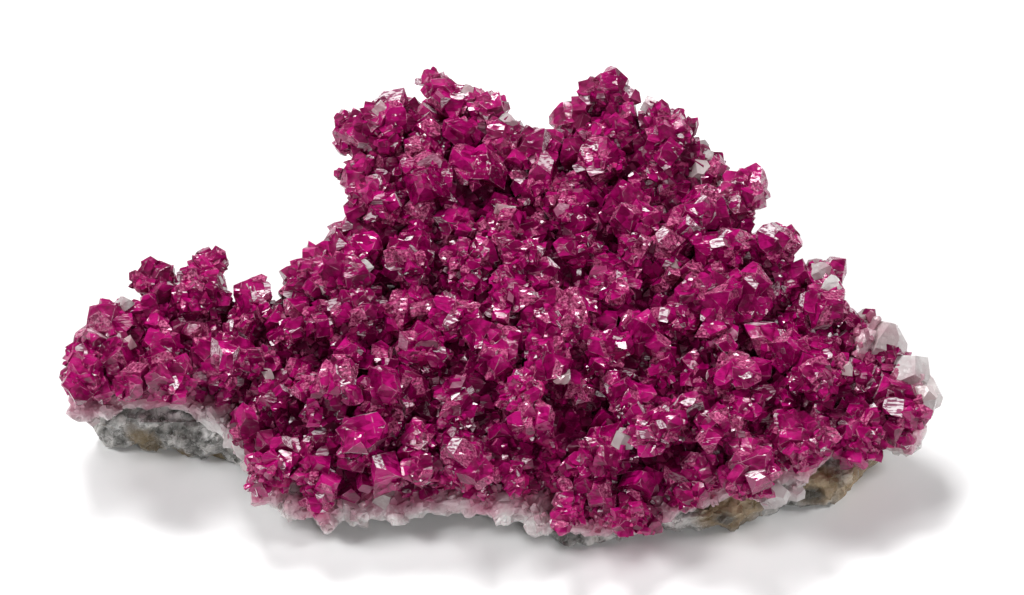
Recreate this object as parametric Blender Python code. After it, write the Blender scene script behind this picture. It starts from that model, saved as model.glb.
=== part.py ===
"""A mineral specimen: a plate of grey rock, white calcite grown on it, and a crust of magenta roselite.

The plate lies on its rock, with the crystals up. X runs along its length, Y across it and Z up, with the
origin under the middle of its bounding box. The driving dimensions below are in millimetres.
"""

import math
import random

import bmesh
import bpy
from mathutils import Matrix, Vector, noise
from mathutils.geometry import delaunay_2d_cdt

MM = 0.001
GAP = 0.3  # clearance between neighbouring layers
CUT_GAP = 0.2  # clearance cut round a lower layer, less than GAP so that no two faces coincide

# The specimen's plan, anticlockwise from the tip of the narrow wing: its near rim first, then the far one
PLAN = [
    (-41.8, -12.0), (-36.0, -12.6), (-32.0, -11.2), (-28.0, -11.2),
    (-24.6, -15.0), (-24.8, -18.2), (-23.8, -20.2), (-21.0, -21.4), (-15.0, -22.2), (-7.5, -21.8),
    (-1.5, -21.2), (3.5, -23.0), (8.0, -25.2), (13.0, -25.6), (17.5, -23.6), (22.5, -23.2),
    (26.0, -21.9), (29.5, -19.6), (32.5, -18.8), (36.0, -17.2), (39.0, -15.4), (41.5, -13.0),
    (42.2, -11.0), (40.5, -8.0), (38.0, -5.6), (34.0, -1.9), (30.0, 3.4), (26.0, 9.2),
    (22.0, 13.7), (17.6, 18.2), (13.5, 21.2), (10.3, 24.0), (7.6, 22.0), (4.6, 14.4),
    (1.8, 18.6), (-1.5, 22.2), (-5.5, 25.1), (-8.5, 22.8), (-12.0, 20.6), (-15.3, 19.4),
    (-16.2, 16.0), (-13.6, 12.3), (-14.9, 8.6), (-16.0, 3.4), (-20.5, 0.9), (-24.0, -0.4),
    (-27.0, 2.7), (-30.5, 3.2), (-33.5, 2.1), (-36.0, 0.0), (-39.5, -3.2), (-42.5, -7.5),
]
CORNER_CUT = 0.25  # how far along each side its corners are cut off
RIM_STEP = 3.0  # between the points that each rim is rebuilt with
SHRINK_STEPS = 8
SHRINK_EASE = 0.3

# Heights of the layers
FRONT_Y = -22.0
ROCK_FRONT = 4.6  # top of the rock at the near rim
ROCK_SLOPE = 0.10  # rise of the rock for each millimetre towards the far rim
CALCITE_THICK = 2.2
CRUST_THICK = 2.7
CRUST_THINNEST = 0.9

# Places as (x, y, radius, rise)
ROCK_DIPS = [
    (-17.0, -22.0, 8.0, -2.6), (-5.0, -22.0, 8.0, -2.6), (12.0, -24.5, 7.5, -3.4), (39.0, -13.0, 6.0, -2.0),
]
MOUNDS = [
    (-9.0, 13.0, 8.0, 2.2), (12.0, 13.0, 8.0, 2.4), (22.0, -2.0, 8.0, 1.4), (2.0, -9.0, 7.0, 1.6),
    (-19.0, -9.0, 6.5, 1.2), (-31.0, -3.0, 5.5, 1.8), (24.0, -14.0, 4.5, 1.2), (-13.0, -16.0, 5.0, 0.8),
    (4.0, 13.0, 3.2, -3.0), (0.0, 5.0, 3.6, -2.2), (-5.0, -1.0, 3.4, -1.6), (10.0, -17.0, 2.8, -1.6),
    (18.0, -10.5, 2.6, -1.4), (29.0, -6.0, 3.0, -1.0), (-24.5, -7.0, 3.0, -1.2),
]

# How far each layer stops short of the plan, and where it shows at the rim instead, as (x, y, radius)
SHOW_EDGE = 4  # the higher, the more sudden the change
NOWHERE_NEAR = 2.0  # in radii, for a layer that shows nowhere
ROCK_INSET = 3.0
ROCK_SHOWS = [(-33.0, -12.0, 7.0), (34.0, -18.0, 5.5), (23.0, -23.0, 3.5), (5.5, -23.5, 3.0)]
CALCITE_INSET = 1.9
CALCITE_SHOWS = [(-38.0, -12.0, 5.0), (-26.0, -13.0, 4.5), (-15.0, -22.0, 12.0), (3.0, -22.5, 6.0),
                 (28.0, -21.0, 4.5), (41.0, -8.5, 7.0), (33.0, 0.0, 4.0)]
# Larger blocks of calcite that stand up through the crust, as (x, y, height above the rock, half width)
CALCITE_BLOCKS = [
    (36.4, -6.2, 5.0, 2.2), (39.6, -9.8, 3.8, 2.3), (33.0, -3.0, 5.2, 1.7), (40.2, -13.0, 2.8, 1.7),
]
CRUST_INSET = 1.6

# The rings of each layer's side, as (share of its thickness, inset), and the unevenness of its broken side,
# as (depth, size, shift)
ROCK_SIDE = [(0.0, 1.0), (0.3, 0.2), (0.65, 0.0), (1.0, 0.5)]
ROCK_ROUGH = (0.9, 3.4, 5.0)
CALCITE_SIDE = [(0.0, 0.9), (0.5, 0.4), (1.0, 0.9)]
CALCITE_ROUGH = (0.6, 2.6, 11.0)
CRUST_SIDE = [(0.0, 1.0), (0.45, 0.2), (1.0, 1.2)]
CRUST_ROUGH = (0.5, 3.0, 17.0)

BARE_STEP = 4.2  # between the points of a surface that shows
HIDDEN_STEP = 8.0  # and of one between two layers
STEP_CLEARANCE = 0.55  # from those points to the rim, as a share of the step
STEP_STRAY = 0.25  # how far a point strays from its grid, likewise
MERGE_DISTANCE = 1e-5

# The underside of the rock
BASE_FLAT_RADIUS = 11.0  # unchipped middle
CHIP_DEPTH = 1.3
CHIP_SIZE = 7.0
CHIP_SECTION = 0.7  # the section of the noise that gives the chips
CHIP_GAIN = 2.0
CHIP_LIMIT = 0.4  # deepest chip as a share of the rock's thickness there
CHIP_BIAS = 0.1  # more than 0 chips more than half of the surface

# Crystals
CLUMP_STEP = 7.0  # between the middles of the rounded clumps that the crust grew in
CLUMP_RISE = 1.3
CLUMP_LEAN = 0.75  # outward lean of the crystals at a clump's edge
CLUMP_CLEARANCE = 1.0  # from a clump's middle to the rim
CLUMP_STRAY = 0.3
ROSELITE_STEP = 5.8
ROSELITE_CLEARANCE = 0.9
ROSELITE_STRAY = 0.28
ROSELITE_TILT = 0.25  # scatter of the crystals' directions
ROSELITE_WIDTH = (1.8, 3.1)  # half the width across
ROSELITE_RIM_STEP = 6.1
RIM_CRYSTAL_LARGEST = 0.85  # width of the widest there, as a share of the widest anywhere
RIM_CRYSTAL_BACK = (1.1, 1.3)  # how far each stands back from the rim, as a share of its width
RIM_CRYSTAL_TILT = 0.2
RIM_CRYSTAL_LIFT = (0.2, 1.0)  # its direction's rise for each unit outwards
RIM_CRYSTAL_HEIGHT = (0.35, 0.65)  # as a share of the crust's thickness
ROSELITE_ROOT = 0.45  # how far each reaches below its middle, as a share of its width
ROSELITE_SINK = 0.25  # how far each sits in the crust, as a share of its width
ROSELITE_ACROSS = (0.72, 1.0)  # the shorter side, as a share of the width
ROSELITE_TALL = (1.15, 1.7)  # height above the middle, likewise
ROSELITE_RIDGE = (0.2, 0.5)  # half the length of the ridge, as a share of the shorter side
ROSELITE_ROOF = (42.0, 58.0)  # tilt of the two large end faces, in degrees
ROSELITE_GABLE = (48.0, 66.0)  # and of the two small ones
ROSELITE_CORNER = (38.0, 52.0)  # turn of the face that trims an upright edge
ROSELITE_CORNER_AT = (0.9, 1.05)  # its distance from the middle, as a share of the width
CALCITE_STEP = 3.4
CALCITE_WIDTH = (1.1, 2.0)
CALCITE_ACROSS = (0.75, 1.05)  # half sizes as shares of the width
CALCITE_TALL = (0.9, 1.3)
CALCITE_POINT = (0.72, 0.9)  # distance of the point's faces from the middle, likewise
CALCITE_SLOPE = (44.0, 54.0)  # and their tilt, in degrees
CALCITE_HEIGHT = (0.3, 0.75)  # of their middles, as a share of the layer's thickness
CALCITE_LIFT = (-0.2, 0.7)  # their direction's rise for each unit outwards
CALCITE_LEAN = (-0.3, 0.3)  # and its turn along the rim
CALCITE_BACK = 0.85  # how far each stands back from the rim, as a share of its width
CALCITE_BARE = 0.45  # calcite that is set in further than this has no crystals
CALCITE_REACH = 1.4  # how far a crystal hangs below its middle, likewise
FLOOR_CLEARANCE = 0.4
BLOCK_LEAN_X = (0.2, 0.6)
BLOCK_LEAN_Y = (-0.4, 0.4)
SLOPE_STEP = 0.5  # over which the crust's slope is measured

# Seeds of the scattered points and crystals
ROCK_SEED = 1
CALCITE_SEED = 2
CRUST_SEED = 3
CALCITE_CRYSTAL_SEED = 21
ROSELITE_CRYSTAL_SEED = 8
CLUMP_SEED = 31
ROSELITE_SEED = 32


def clear_scene():
    for obj in list(bpy.data.objects):
        bpy.data.objects.remove(obj)


def finish_of(name, colour, roughness):
    made = bpy.data.materials.new(name)
    made.use_nodes = True
    shader = made.node_tree.nodes["Principled BSDF"]
    shader.inputs["Base Color"].default_value = (*colour, 1.0)
    shader.inputs["Roughness"].default_value = roughness
    shader.inputs["Metallic"].default_value = 0.0
    return made


def bumps(x, y, places):
    """Sum of the rounded rises and dips at these places."""
    total = 0.0
    for px, py, radius, rise in places:
        total += rise * math.exp(-((x - px) ** 2 + (y - py) ** 2) / radius**2)
    return total


def rock_top(x, y):
    return ROCK_FRONT + ROCK_SLOPE * (y - FRONT_Y) + bumps(x, y, ROCK_DIPS)


def calcite_top(x, y):
    return rock_top(x, y) + GAP + CALCITE_THICK


def crust_top(x, y):
    return calcite_top(x, y) + GAP + max(CRUST_THINNEST, CRUST_THICK + bumps(x, y, MOUNDS))


def rock_bottom(x, y):
    """The underside: flat at 0, with shallow chips away from its middle."""
    chip = noise.noise(Vector((x / CHIP_SIZE, y / CHIP_SIZE, CHIP_SECTION)))
    from_middle = max(0.0, math.hypot(x, y) / BASE_FLAT_RADIUS - 1.0)
    deep = min(CHIP_DEPTH, CHIP_LIMIT * rock_top(x, y))
    return max(0.0, CHIP_GAIN * deep * min(1.0, from_middle) * (chip + CHIP_BIAS))


def inset_with(depth, shows):
    """How far a rim is set in from the plan: by this depth, but not at all within these places."""
    def at(x, y):
        near = min((math.hypot(x - px, y - py) / radius for px, py, radius in shows), default=NOWHERE_NEAR)
        return depth * (1.0 - math.exp(-(near**SHOW_EDGE)))
    return at


def rebuilt(points, step):
    """The closed outline with corners rounded once and points this far apart."""
    rounded = []
    for here, after in zip(points, points[1:] + points[:1]):
        a, b = Vector(here), Vector(after)
        rounded += [a.lerp(b, CORNER_CUT), a.lerp(b, 1.0 - CORNER_CUT)]
    lengths = [(b - a).length for a, b in zip(rounded, rounded[1:] + rounded[:1])]
    count = round(sum(lengths) / step)
    placed, walked, index = [], 0.0, 0
    for k in range(count):
        target = sum(lengths) * k / count
        while walked + lengths[index] < target:
            walked += lengths[index]
            index += 1
        share = (target - walked) / lengths[index]
        placed.append(rounded[index].lerp(rounded[(index + 1) % len(rounded)], share))
    return placed


def outward(points):
    """Unit normals of a closed anticlockwise outline."""
    normals = []
    for k, _ in enumerate(points):
        along = points[(k + 1) % len(points)] - points[k - 1]
        normals.append(Vector((along.y, -along.x)).normalized())
    return normals


def shrunk(points, inset_at, outset=0.0):
    """The outline moved in by small steps and eased after each, so that it never crosses itself."""
    for _ in range(SHRINK_STEPS):
        moved = []
        for point, normal in zip(points, outward(points)):
            moved.append(point - normal * ((inset_at(point.x, point.y) - outset) / SHRINK_STEPS))
        points = []
        for k, here in enumerate(moved):
            between = (moved[k - 1] + moved[(k + 1) % len(moved)]) / 2
            points.append(here.lerp(between, SHRINK_EASE))
    return points


def inside(point, outline, clear=0.0):
    """Whether a point is in the outline, and at least this far from it."""
    hit = False
    for a, b in zip(outline, outline[1:] + outline[:1]):
        if (a.y > point.y) != (b.y > point.y):
            if point.x < a.x + (point.y - a.y) * (b.x - a.x) / (b.y - a.y):
                hit = not hit
        if clear:
            edge = b - a
            share = max(0.0, min(1.0, (point - a).dot(edge) / edge.length_squared))
            if (point - a - edge * share).length < clear:
                return False
    return hit


def scattered(outline, step, clear, seed, stray=STEP_STRAY):
    """Points on a triangular grid, each moved a little, at least so clear of the outline."""
    rng = random.Random(seed)
    low = Vector((min(p.x for p in outline), min(p.y for p in outline)))
    high = Vector((max(p.x for p in outline), max(p.y for p in outline)))
    found = []
    row_gap = step * math.sqrt(3) / 2
    for row in range(int((high.y - low.y) / row_gap) + 1):
        for column in range(int((high.x - low.x) / step) + 2):
            point = low + Vector(((column + 0.5 * (row % 2)) * step, row * row_gap))
            point += Vector((rng.uniform(-stray, stray), rng.uniform(-stray, stray))) * step
            if inside(point, outline, clear):
                found.append(point)
    return found


def broken(x, y, z, depth, size, shift):
    """How far the broken side of a layer stands out or in here."""
    return depth * noise.noise(Vector((x / size + shift, y / size, z / size)))


def capped(bm, ring, height_at, step, seed, up):
    """Fills a ring of vertices with a triangulated surface of this height."""
    outline = [v.co.xy for v in ring]
    inner = scattered(outline, step, STEP_CLEARANCE * step, seed)
    edges = [(k, (k + 1) % len(ring)) for k in range(len(ring))]
    points, _, triangles, _, _, _ = delaunay_2d_cdt(outline + inner, edges, [], 1, MERGE_DISTANCE)
    vertices = list(ring)
    for point in points[len(ring):]:
        vertices.append(bm.verts.new((point.x, point.y, height_at(point.x, point.y))))
    for corners in triangles:
        corners = corners if up else list(reversed(corners))
        bm.faces.new([vertices[k] for k in corners])


def slab(name, inset_at, outset, low_at, high_at, side, roughness, steps, seed):
    """A closed plate between two heights. steps space the points of its lower and upper surfaces."""
    bm = bmesh.new()
    plan = rebuilt(PLAN, RIM_STEP)
    rings = []
    for share, further in side:
        rim = shrunk(plan, lambda x, y, further=further: inset_at(x, y) + further, outset)
        ring = []
        for point, normal in zip(rim, outward(rim)):
            low, high = low_at(point.x, point.y), high_at(point.x, point.y)
            z = low + (high - low) * share
            place = point + normal * broken(point.x, point.y, z, *roughness)
            ring.append(bm.verts.new((place.x, place.y, z)))
        rings.append(ring)
    for lower, upper in zip(rings, rings[1:]):
        for k in range(len(plan)):
            after = (k + 1) % len(plan)
            bm.faces.new((lower[k], lower[after], upper[after], upper[k]))
    capped(bm, rings[0], low_at, steps[0], seed, up=False)
    capped(bm, rings[-1], high_at, steps[1], seed, up=True)
    bmesh.ops.triangulate(bm, faces=bm.faces)
    return object_of(name, bm)


def object_of(name, bm):
    """A new object of this mesh, whose points are in millimetres."""
    bmesh.ops.recalc_face_normals(bm, faces=bm.faces)
    bmesh.ops.scale(bm, vec=(MM, MM, MM), verts=bm.verts)
    mesh = bpy.data.meshes.new(name)
    bm.to_mesh(mesh)
    bm.free()
    made = bpy.data.objects.new(name, mesh)
    bpy.context.scene.collection.objects.link(made)
    return made


def cut_block(name, place, turn, half, planes):
    """A convex crystal: a block trimmed by planes, each given as (normal, distance from its middle)."""
    bm = bmesh.new()
    bmesh.ops.create_cube(bm, size=2.0)
    bmesh.ops.scale(bm, vec=half, verts=bm.verts)
    for normal, distance in planes:
        normal = Vector(normal).normalized()
        cut = bmesh.ops.bisect_plane(
            bm, geom=bm.verts[:] + bm.edges[:] + bm.faces[:], dist=1e-6,
            plane_co=normal * distance, plane_no=normal, clear_outer=True)
        edges = [e for e in cut["geom_cut"] if isinstance(e, bmesh.types.BMEdge)]
        if edges:
            bmesh.ops.contextual_create(bm, geom=edges)
    bmesh.ops.transform(bm, matrix=Matrix.Translation(place) @ turn.to_4x4(), verts=bm.verts)
    return object_of(name, bm)


def towards(axis, spin):
    """A rotation that carries +Z to this axis, after a spin about it."""
    return axis.normalized().to_track_quat("Z", "Y").to_matrix() @ Matrix.Rotation(spin, 3, "Z")


def roselite_crystal(name, rng, place, axis, width):
    """A stout prism under a wedge: two large roof faces, two small ones, and one trimmed upright edge."""
    across = width * rng.uniform(*ROSELITE_ACROSS)
    tall = width * rng.uniform(*ROSELITE_TALL)
    roof, gable = math.radians(rng.uniform(*ROSELITE_ROOF)), math.radians(rng.uniform(*ROSELITE_GABLE))
    ridge_half = across * rng.uniform(*ROSELITE_RIDGE)
    planes = [((math.sin(roof) * side, 0.0, math.cos(roof)), tall * math.cos(roof)) for side in (-1, 1)]
    planes += [((0.0, math.sin(gable) * side, math.cos(gable)),
                tall * math.cos(gable) + ridge_half * math.sin(gable)) for side in (-1, 1)]
    corner = math.radians(rng.uniform(*ROSELITE_CORNER)) * rng.choice((-1, 1))
    planes.append(((math.cos(corner), math.sin(corner), 0.0), width * rng.uniform(*ROSELITE_CORNER_AT)))
    planes.append(((0.0, 0.0, -1.0), ROSELITE_ROOT * width))
    return cut_block(name, place, towards(axis, rng.uniform(0, math.tau)), (width, across, tall), planes)


def calcite_crystal(name, rng, place, axis, width, outset):
    """A blunt rhomb: a block with a three-sided point. outset pushes every face out."""
    half = [width * rng.uniform(*CALCITE_ACROSS) + outset for _ in range(2)]
    half.append(width * rng.uniform(*CALCITE_TALL) + outset)
    slope = math.radians(rng.uniform(*CALCITE_SLOPE))
    start = rng.uniform(0, math.tau)
    planes = []
    for k in range(3):
        angle = start + k * math.tau / 3
        normal = (math.sin(slope) * math.cos(angle), math.sin(slope) * math.sin(angle), math.cos(slope))
        planes.append((normal, width * rng.uniform(*CALCITE_POINT) + outset))
    return cut_block(name, place, towards(axis, rng.uniform(0, math.tau)), half, planes)


def boolean(obj, operation, tools):
    """Joins the tools to obj, or cuts them from it, and removes them."""
    group = bpy.data.collections.new("tools")
    for tool in tools:
        group.objects.link(tool)
    modifier = obj.modifiers.new(operation.lower(), "BOOLEAN")
    modifier.operation = operation
    modifier.solver = "EXACT"
    modifier.operand_type = "COLLECTION"
    modifier.collection = group
    graph = bpy.context.evaluated_depsgraph_get()
    result = bpy.data.meshes.new_from_object(obj.evaluated_get(graph))
    obj.modifiers.clear()
    obj.data = result
    for tool in tools:
        bpy.data.objects.remove(tool)
    bpy.data.collections.remove(group)


def keep_largest(obj):
    """Drops the small splinters that a cut can leave beside the main body."""
    bm = bmesh.new()
    bm.from_mesh(obj.data)
    left, bodies = set(bm.verts), []
    while left:
        body, edge_of_body = set(), [left.pop()]
        while edge_of_body:
            vertex = edge_of_body.pop()
            body.add(vertex)
            for edge in vertex.link_edges:
                other = edge.other_vert(vertex)
                if other in left:
                    left.remove(other)
                    edge_of_body.append(other)
        bodies.append(body)
    largest = max(bodies, key=len)
    bmesh.ops.delete(bm, geom=[v for v in bm.verts if v not in largest], context="VERTS")
    bm.to_mesh(obj.data)
    bm.free()


def rock_solid(name, outset=0.0):
    return slab(name, inset_with(ROCK_INSET, ROCK_SHOWS), outset,
                lambda x, y: rock_bottom(x, y) - outset, lambda x, y: rock_top(x, y) + outset,
                ROCK_SIDE, ROCK_ROUGH, (BARE_STEP, HIDDEN_STEP), ROCK_SEED)


def calcite_slab(name, outset=0.0):
    return slab(name, inset_with(CALCITE_INSET, CALCITE_SHOWS), outset,
                lambda x, y: rock_top(x, y) + GAP - outset, lambda x, y: calcite_top(x, y) + outset,
                CALCITE_SIDE, CALCITE_ROUGH, (HIDDEN_STEP, HIDDEN_STEP), CALCITE_SEED)


def calcite_crystals(outset=0.0):
    """Blunt crystals along the rim, where the calcite shows, and blocks that stand up through the crust."""
    rng = random.Random(CALCITE_CRYSTAL_SEED)
    points = rebuilt(PLAN, CALCITE_STEP)
    inset_at = inset_with(CALCITE_INSET, CALCITE_SHOWS)
    made = []
    for point, normal in zip(points, outward(points)):
        if inset_at(point.x, point.y) > CALCITE_BARE:
            continue
        width = rng.uniform(*CALCITE_WIDTH)
        height, lift, lean = [rng.uniform(*r) for r in (CALCITE_HEIGHT, CALCITE_LIFT, CALCITE_LEAN)]
        place = point - normal * (width * CALCITE_BACK)
        low, high = rock_top(place.x, place.y) + GAP, calcite_top(place.x, place.y)
        side = Vector((-normal.y, normal.x))
        axis = Vector((normal.x + side.x * lean, normal.y + side.y * lean, lift))
        z = max(low + (high - low) * height, CALCITE_REACH * width + FLOOR_CLEARANCE)
        middle = Vector((place.x, place.y, z))
        made.append(calcite_crystal(f"calcite_{len(made)}", rng, middle, axis, width, outset))
    for x, y, above, width in CALCITE_BLOCKS:
        axis = Vector((rng.uniform(*BLOCK_LEAN_X), rng.uniform(*BLOCK_LEAN_Y), 1.0))
        place = Vector((x, y, rock_top(x, y) + above))
        made.append(calcite_crystal(f"calcite_{len(made)}", rng, place, axis, width, outset))
    return made


def calcite_solid(name, outset=0.0):
    layer = calcite_slab(name, outset)
    boolean(layer, "UNION", calcite_crystals(outset))
    return layer


def crust_slab(name):
    return slab(name, inset_with(CRUST_INSET, []), 0.0, lambda x, y: calcite_top(x, y) + GAP, crust_top,
                CRUST_SIDE, CRUST_ROUGH, (HIDDEN_STEP, BARE_STEP), CRUST_SEED)


def surface_normal(x, y):
    slope_x = (crust_top(x + SLOPE_STEP, y) - crust_top(x - SLOPE_STEP, y)) / (2 * SLOPE_STEP)
    slope_y = (crust_top(x, y + SLOPE_STEP) - crust_top(x, y - SLOPE_STEP)) / (2 * SLOPE_STEP)
    return Vector((-slope_x, -slope_y, 1.0)).normalized()


def roselite_crystals():
    """Crystals over the crust. They lean away from the middle of their clump, and out over the rim."""
    rng = random.Random(ROSELITE_CRYSTAL_SEED)
    outline = shrunk(rebuilt(PLAN, RIM_STEP), inset_with(CRUST_INSET, []))
    clumps = scattered(outline, CLUMP_STEP, CLUMP_CLEARANCE, CLUMP_SEED, CLUMP_STRAY)
    made = []
    for point in scattered(outline, ROSELITE_STEP, ROSELITE_CLEARANCE, ROSELITE_SEED, ROSELITE_STRAY):
        nearest = min(clumps, key=lambda c: (c - point).length)
        away = (point - nearest) / (CLUMP_STEP / 2)
        share = min(1.0, away.length)
        axis = surface_normal(point.x, point.y) + Vector((away.x, away.y, 0.0)) * CLUMP_LEAN
        axis += Vector((rng.gauss(0, ROSELITE_TILT), rng.gauss(0, ROSELITE_TILT), 0.0))
        width = rng.uniform(*ROSELITE_WIDTH)
        z = crust_top(point.x, point.y) + CLUMP_RISE * (1.0 - share**2) - ROSELITE_SINK * width
        place = Vector((point.x, point.y, z))
        made.append(roselite_crystal(f"roselite_{len(made)}", rng, place, axis, width))
    points = rebuilt(PLAN, ROSELITE_RIM_STEP)
    for point, normal in zip(points, outward(points)):
        width = rng.uniform(ROSELITE_WIDTH[0], RIM_CRYSTAL_LARGEST * ROSELITE_WIDTH[1])
        place = point - normal * width * rng.uniform(*RIM_CRYSTAL_BACK)
        low, high = calcite_top(place.x, place.y) + GAP, crust_top(place.x, place.y)
        z = low + (high - low) * rng.uniform(*RIM_CRYSTAL_HEIGHT)
        tilt_x, tilt_y = rng.gauss(0, RIM_CRYSTAL_TILT), rng.gauss(0, RIM_CRYSTAL_TILT)
        axis = Vector((normal.x + tilt_x, normal.y + tilt_y, rng.uniform(*RIM_CRYSTAL_LIFT)))
        middle = Vector((place.x, place.y, z))
        made.append(roselite_crystal(f"roselite_{len(made)}", rng, middle, axis, width))
    return made


def crust_solid(name):
    crust = crust_slab(name)
    boolean(crust, "UNION", roselite_crystals())
    cutters = [calcite_solid("calcite_cutter", CUT_GAP), rock_solid("rock_cutter", CUT_GAP)]
    boolean(crust, "DIFFERENCE", cutters)
    keep_largest(crust)
    return crust


def stand_on_origin(parts):
    """Moves the parts so that the middle of the underside of their common box is the origin."""
    corners = [v.co for part in parts for v in part.data.vertices]
    low = Vector([min(c[k] for c in corners) for k in range(3)])
    high = Vector([max(c[k] for c in corners) for k in range(3)])
    shift = Vector((-(low.x + high.x) / 2, -(low.y + high.y) / 2, -low.z))
    for part in parts:
        part.data.transform(Matrix.Translation(shift))


def main():
    clear_scene()
    rock = rock_solid("host_rock")
    calcite = calcite_solid("calcite_band")
    boolean(calcite, "DIFFERENCE", [rock_solid("rock_cutter", CUT_GAP)])
    keep_largest(calcite)
    crust = crust_solid("roselite_crust")
    rock.data.materials.append(finish_of("grey rock", (0.33, 0.32, 0.29), 0.85))
    calcite.data.materials.clear()
    calcite.data.materials.append(finish_of("white calcite", (0.82, 0.76, 0.76), 0.35))
    crust.data.materials.clear()
    crust.data.materials.append(finish_of("magenta roselite", (0.42, 0.01, 0.14), 0.2))
    stand_on_origin([rock, calcite, crust])


main()
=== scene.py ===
import math
import random

import bmesh
import bpy
from mathutils import Matrix, Vector
from mathutils.bvhtree import BVHTree
from mathutils.kdtree import KDTree


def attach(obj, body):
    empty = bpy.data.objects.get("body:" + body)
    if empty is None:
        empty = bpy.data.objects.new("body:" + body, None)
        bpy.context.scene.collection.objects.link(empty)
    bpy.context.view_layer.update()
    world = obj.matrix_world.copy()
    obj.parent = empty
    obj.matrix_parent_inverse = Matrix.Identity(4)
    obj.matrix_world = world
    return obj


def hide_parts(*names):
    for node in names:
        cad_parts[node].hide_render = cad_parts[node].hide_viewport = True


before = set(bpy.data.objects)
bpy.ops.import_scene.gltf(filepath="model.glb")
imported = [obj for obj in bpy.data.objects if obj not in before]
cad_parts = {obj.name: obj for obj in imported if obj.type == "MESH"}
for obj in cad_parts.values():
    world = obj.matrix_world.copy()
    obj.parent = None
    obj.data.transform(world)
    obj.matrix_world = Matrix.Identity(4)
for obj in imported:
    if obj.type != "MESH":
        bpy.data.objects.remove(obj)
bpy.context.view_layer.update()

mm = 0.001
mergeDistance = 1e-6  # points of a CAD node closer than this are one
cutDistance = 1e-5  # the same for a cut through a crystal that is 2 wide
scene = bpy.context.scene


class Wire:
    # an output socket; sums on it add Math nodes
    def __init__(self, graph, node, key=0):
        self.graph = graph
        self.node = node
        self.socket = node.outputs[key] if node.outputs else None

    def at(self, key):
        return Wire(self.graph, self.node, key)  # another output of the same node

    def maths(self, operation, first, second=0.0, clamp=False):
        settings = {"operation": operation, "use_clamp": clamp}
        return self.graph.add("ShaderNodeMath", settings, {0: first, 1: second})

    def __add__(self, other):
        return self.maths("ADD", self, other)

    def __radd__(self, other):
        return self.maths("ADD", other, self)

    def __sub__(self, other):
        return self.maths("SUBTRACT", self, other)

    def __rsub__(self, other):
        return self.maths("SUBTRACT", other, self)

    def __mul__(self, other):
        return self.maths("MULTIPLY", self, other)

    def __rmul__(self, other):
        return self.maths("MULTIPLY", other, self)

    def __pow__(self, other):
        return self.maths("POWER", self, other)

    def above(self, edge):
        return self.maths("GREATER_THAN", self, edge)

    def clamped(self):
        return self.maths("ADD", self, 0.0, clamp=True)


class Graph:
    def __init__(self, tree):
        self.tree = tree
        tree.nodes.clear()

    def add(self, kind, settings=None, values=None, out=0):
        node = self.tree.nodes.new(kind)
        for name, value in (settings or {}).items():
            if name == "stops":
                ramp = node.color_ramp.elements
                while len(ramp) < len(value):
                    ramp.new(1.0)
                for element, (place, colour) in zip(ramp, value):
                    element.position = place
                    element.color = (*colour, 1.0)
            else:
                setattr(node, name, value)
        for name, value in (values or {}).items():
            if isinstance(value, Wire):
                self.tree.links.new(value.socket, node.inputs[name])
            else:
                node.inputs[name].default_value = value
        return Wire(self, node, out)

    def mixed(self, share, first, second):
        # the first colour where share is 0, the second where it is 1
        return self.add("ShaderNodeMix", {"data_type": "RGBA"}, {0: share, 6: first, 7: second}, out=2)

    def vector(self, operation, first, second, out=0):
        # second is a factor for SCALE, a vector otherwise
        return self.add("ShaderNodeVectorMath", {"operation": operation},
                        {0: first, (3 if operation == "SCALE" else 1): second}, out)

    def attribute(self, key):
        return self.add("ShaderNodeAttribute", {"attribute_name": key}, out="Fac")

    def noise(self, place, perMm, detail=2.0, rough=0.5):
        return self.add("ShaderNodeTexNoise", None,
                        {"Vector": place, "Scale": perMm / mm, "Detail": detail, "Roughness": rough})

    def turned(self, place, turn, scale):
        return self.add("ShaderNodeMapping", None, {"Vector": place, "Rotation": turn, "Scale": scale})

    def tinyFacets(self, place, perMm):
        # a surface broken into cells that each slope their own way: its height, and a number for each cell
        cells = self.add("ShaderNodeTexVoronoi", None, {"Vector": place, "Scale": perMm / mm},
                         out="Position")
        slope = self.vector("SUBTRACT", cells.at("Color"), (0.5, 0.5, 0.5))
        shade = self.add("ShaderNodeSeparateColor", None, {0: cells.at("Color")})
        return self.vector("DOT_PRODUCT", slope, self.vector("SUBTRACT", place, cells), out=1), shade


picture = {
    "aim": Vector((0.0016, 0.0008, 0.0103)),
    "elevation": math.radians(50),
    "distance": 0.8,
    "widthAtAim": 0.0995,  # what the picture's width spans at the specimen
    "pixels": (1024, 595),
    "nearest": 0.01,  # nothing closer to the camera than this is drawn
    "floor": (0.93, 0.93, 0.93),
    "floorHalfWidth": 2.0,
    "world": 0.06,  # grey of the light from all round
    # direction (azimuth from +Y towards +X, elevation), distance, size, radiance
    "lights": {
        "backBox": (-18, 60, 0.75, (0.26, 0.18), 31.0),
        "leftBox": (-100, 45, 0.75, (0.18, 0.20), 28.0),
        "rightBox": (95, 42, 0.8, (0.16, 0.20), 26.0),
        "frontBox": (165, 42, 0.85, (0.22, 0.16), 11.0),
    },
}
viewBack = Vector((0.0, -math.cos(picture["elevation"]), math.sin(picture["elevation"])))
eye = picture["aim"] + viewBack * picture["distance"]


def objectOf(name, bm):
    mesh = bpy.data.meshes.new(name)
    bm.to_mesh(mesh)
    bm.free()
    made = bpy.data.objects.new(name, mesh)
    scene.collection.objects.link(made)
    return made


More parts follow.
